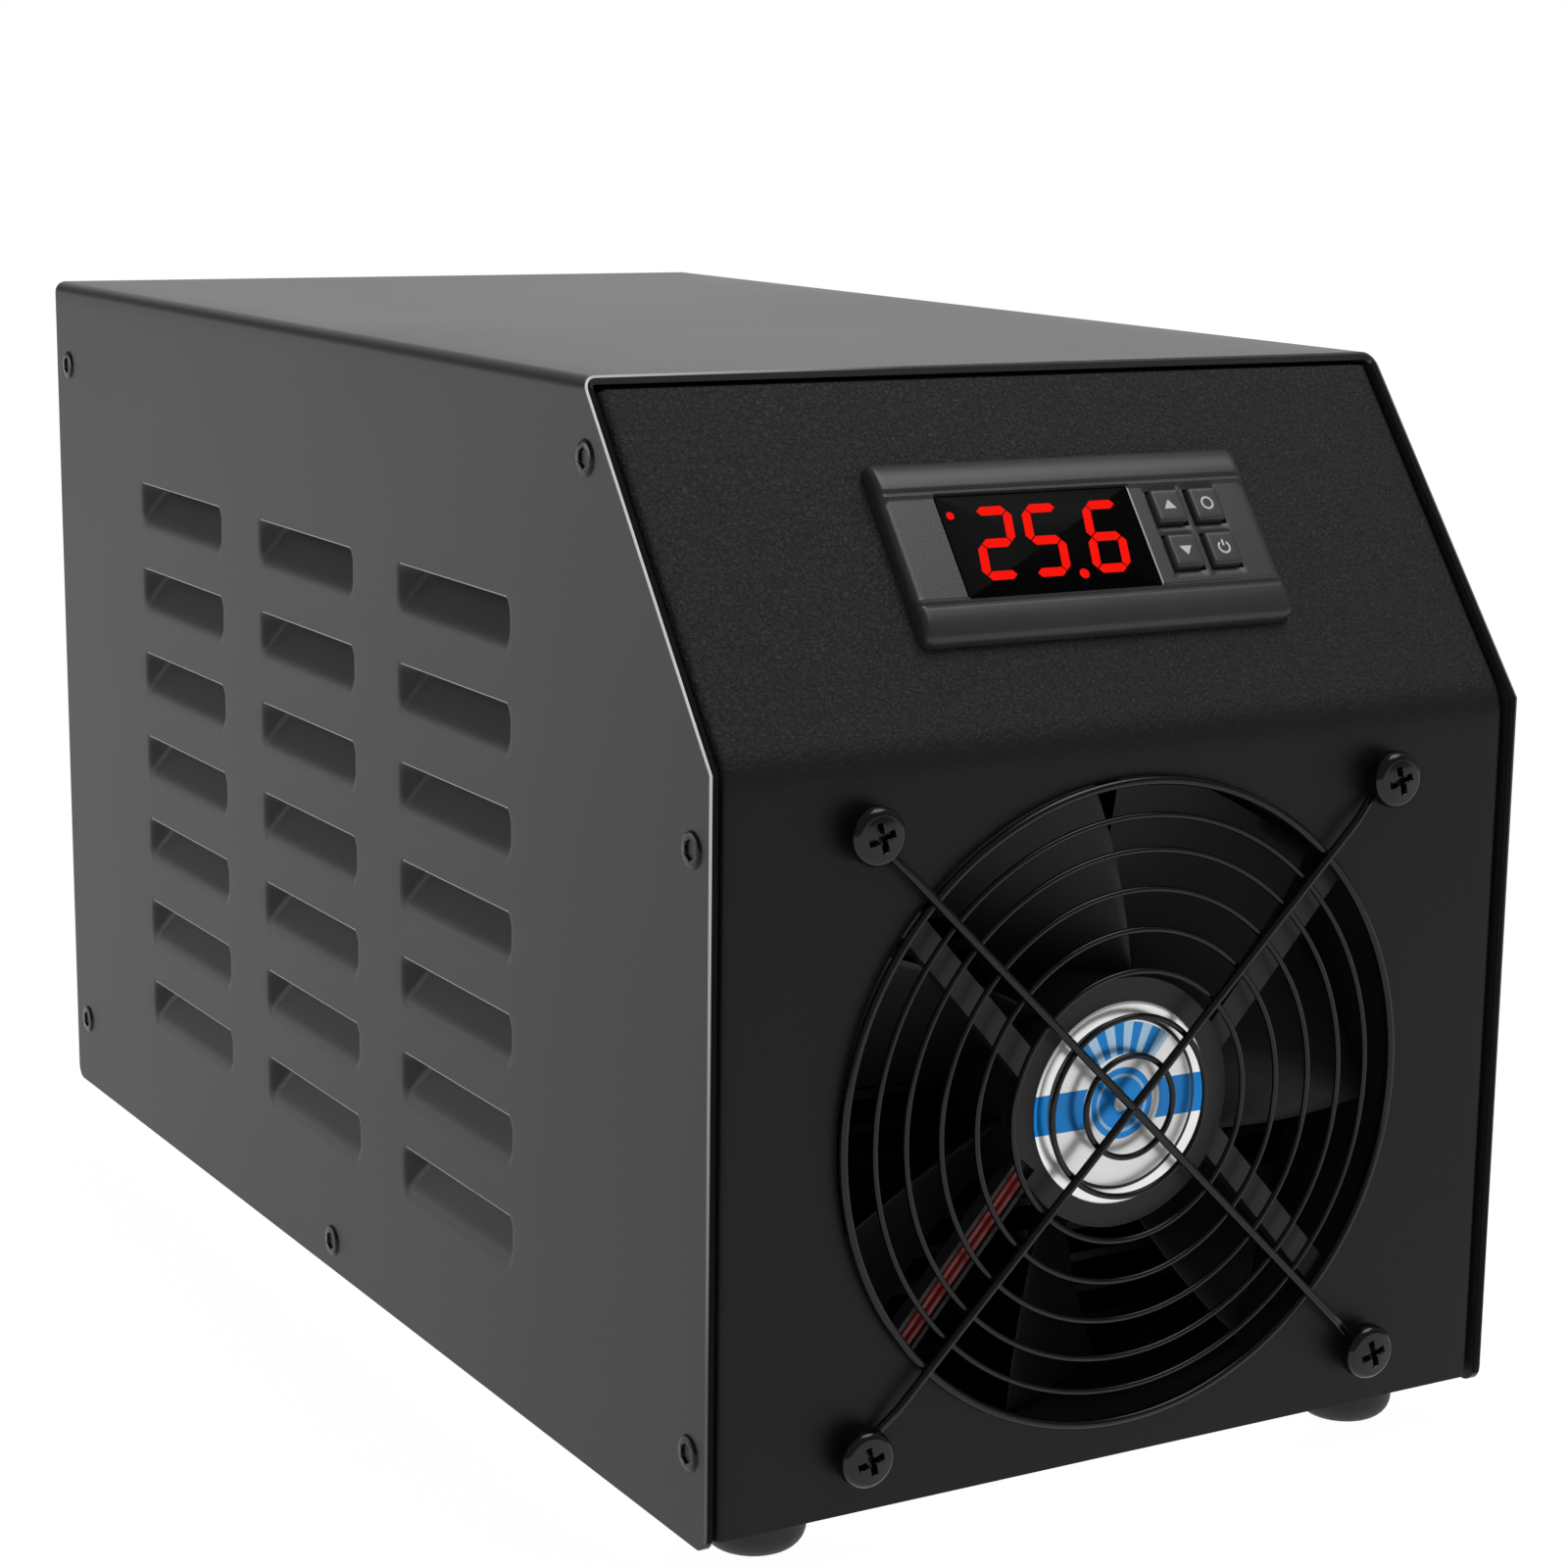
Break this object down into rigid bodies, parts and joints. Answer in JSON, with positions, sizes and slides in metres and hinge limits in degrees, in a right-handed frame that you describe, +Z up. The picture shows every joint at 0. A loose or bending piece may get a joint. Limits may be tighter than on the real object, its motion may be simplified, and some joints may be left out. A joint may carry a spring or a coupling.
{
  "type": "aquarium chiller",
  "caption": "Box-shaped thermoelectric aquarium chiller with a sloped control face, pressed louvres in both sides, a guarded fan in front and hose barbs at the back.",
  "frame": {"origin": "middle of the footprint on the surface the feet stand on", "axes": "+Z up, -Y towards the fan, +Y towards the hose barbs, +X to the right seen from the front"},
  "size_m": [0.164, 0.344, 0.195],
  "materials": {
    "cover_paint": "fine satin powder coat",
    "panel_paint": "fine grained powder coat",
    "black_screw": "black oxide",
    "black_wire": "glossy black paint",
    "bare_steel": "zinc plated",
    "tray_steel": "galvanised sheet",
    "shelf_steel": "galvanised sheet",
    "rubber": "matt",
    "fan_plastic": "satin black",
    "label": "printed foil",
    "bearing_steel": "ground",
    "magnet": "dull grey",
    "copper": "enamelled wire",
    "board": "solder mask",
    "lead_red": "soft insulation",
    "lead_black": "soft insulation",
    "frame_plastic": "satin grey",
    "window": "smoked, glossy",
    "button_plastic": "satin",
    "dark_plastic": "moulded",
    "sink_aluminium": "extruded",
    "block_aluminium": "milled",
    "ceramic": "white, matt",
    "foam": "closed-cell foam",
    "tube": "clear hose",
    "psu_steel": "pressed sheet",
    "pin_brass": "nickel plated",
    "fuse_glass": "glass tube with plated caps"
  },
  "bodies": {
    "cabinet": {"cover_top": "cover_paint", "cover_left": "cover_paint", "cover_right": "cover_paint", "front_panel": "panel_paint", "base_tray": "tray_steel", "rear_panel": "panel_paint", "cover_screws": "black_screw", "panel_rivets": "bare_steel", "feet": "rubber", "foot_screws": "bare_steel", "foot_nuts": "bare_steel", "fan_guard": "black_wire", "fan_screws": "black_wire", "fan_nuts": "bare_steel", "fan_frame": "fan_plastic", "fan_label": "label", "fan_bearings": "bearing_steel", "fan_windings": "copper", "fan_board": "board", "fan_lead": "lead_red", "module_leads": "lead_red", "mains_leads": "lead_black", "controller_bezel": "frame_plastic", "controller_case": "dark_plastic", "display_window": "window", "display_module": "dark_plastic", "controller_board": "board", "controller_clips": "dark_plastic", "controller_terminals": "dark_plastic", "heat_sink": "sink_aluminium", "sink_brackets": "bare_steel", "sink_screws": "bare_steel", "peltier_modules": "ceramic", "cold_block": "block_aluminium", "insulation_foam": "foam", "water_tubes": "tube", "hose_clamps": "bare_steel", "hose_barbs": "dark_plastic", "barb_seals": "rubber", "barb_nuts": "dark_plastic", "psu_shelf": "shelf_steel", "shelf_screws": "bare_steel", "psu_case": "psu_steel", "psu_cover": "psu_steel", "psu_board": "board", "psu_terminals": "dark_plastic", "inlet_housing": "dark_plastic", "inlet_pins": "pin_brass", "inlet_screws": "black_screw", "temperature_probe": "rubber"},
    "fan_rotor": {"fan_rotor": "fan_plastic", "fan_magnet": "magnet", "fan_shaft": "bearing_steel"},
    "up_key": {"button_up": "button_plastic"},
    "down_key": {"button_down": "button_plastic"},
    "set_key": {"button_set": "button_plastic"},
    "power_key": {"button_power": "button_plastic"},
    "rocker": {"rocker_switch": "button_plastic"},
    "drawer": {"fuse_drawer": "dark_plastic", "fuse": "fuse_glass"}
  },
  "joints": [
    {"name": "fan_spin", "type": "hinge", "parent": "cabinet", "child": "fan_rotor", "pos_m": [-0.0005, -0.15, 0.0728], "axis": [0, 1, 0], "continuous": true},
    {"name": "up_press", "type": "slide", "parent": "cabinet", "child": "up_key", "axis": [0, 0.7901, -0.613], "range_m": [0, 0.0006], "stiffness_N_per_m": 1200, "springref_m": -0.0004},
    {"name": "down_press", "type": "slide", "parent": "cabinet", "child": "down_key", "axis": [0, 0.7901, -0.613], "range_m": [0, 0.0006], "stiffness_N_per_m": 1200, "springref_m": -0.0004},
    {"name": "set_press", "type": "slide", "parent": "cabinet", "child": "set_key", "axis": [0, 0.7901, -0.613], "range_m": [0, 0.0006], "stiffness_N_per_m": 1200, "springref_m": -0.0004},
    {"name": "power_press", "type": "slide", "parent": "cabinet", "child": "power_key", "axis": [0, 0.7901, -0.613], "range_m": [0, 0.0006], "stiffness_N_per_m": 1200, "springref_m": -0.0004},
    {"name": "rocker_tilt", "type": "hinge", "parent": "cabinet", "child": "rocker", "pos_m": [-0.034, 0.1445, 0.1412], "axis": [-1, 0, 0], "range_deg": [0, 18]},
    {"name": "drawer_slide", "type": "slide", "parent": "cabinet", "child": "drawer", "axis": [0, 1, 0], "range_m": [0, 0.014]}
  ]
}
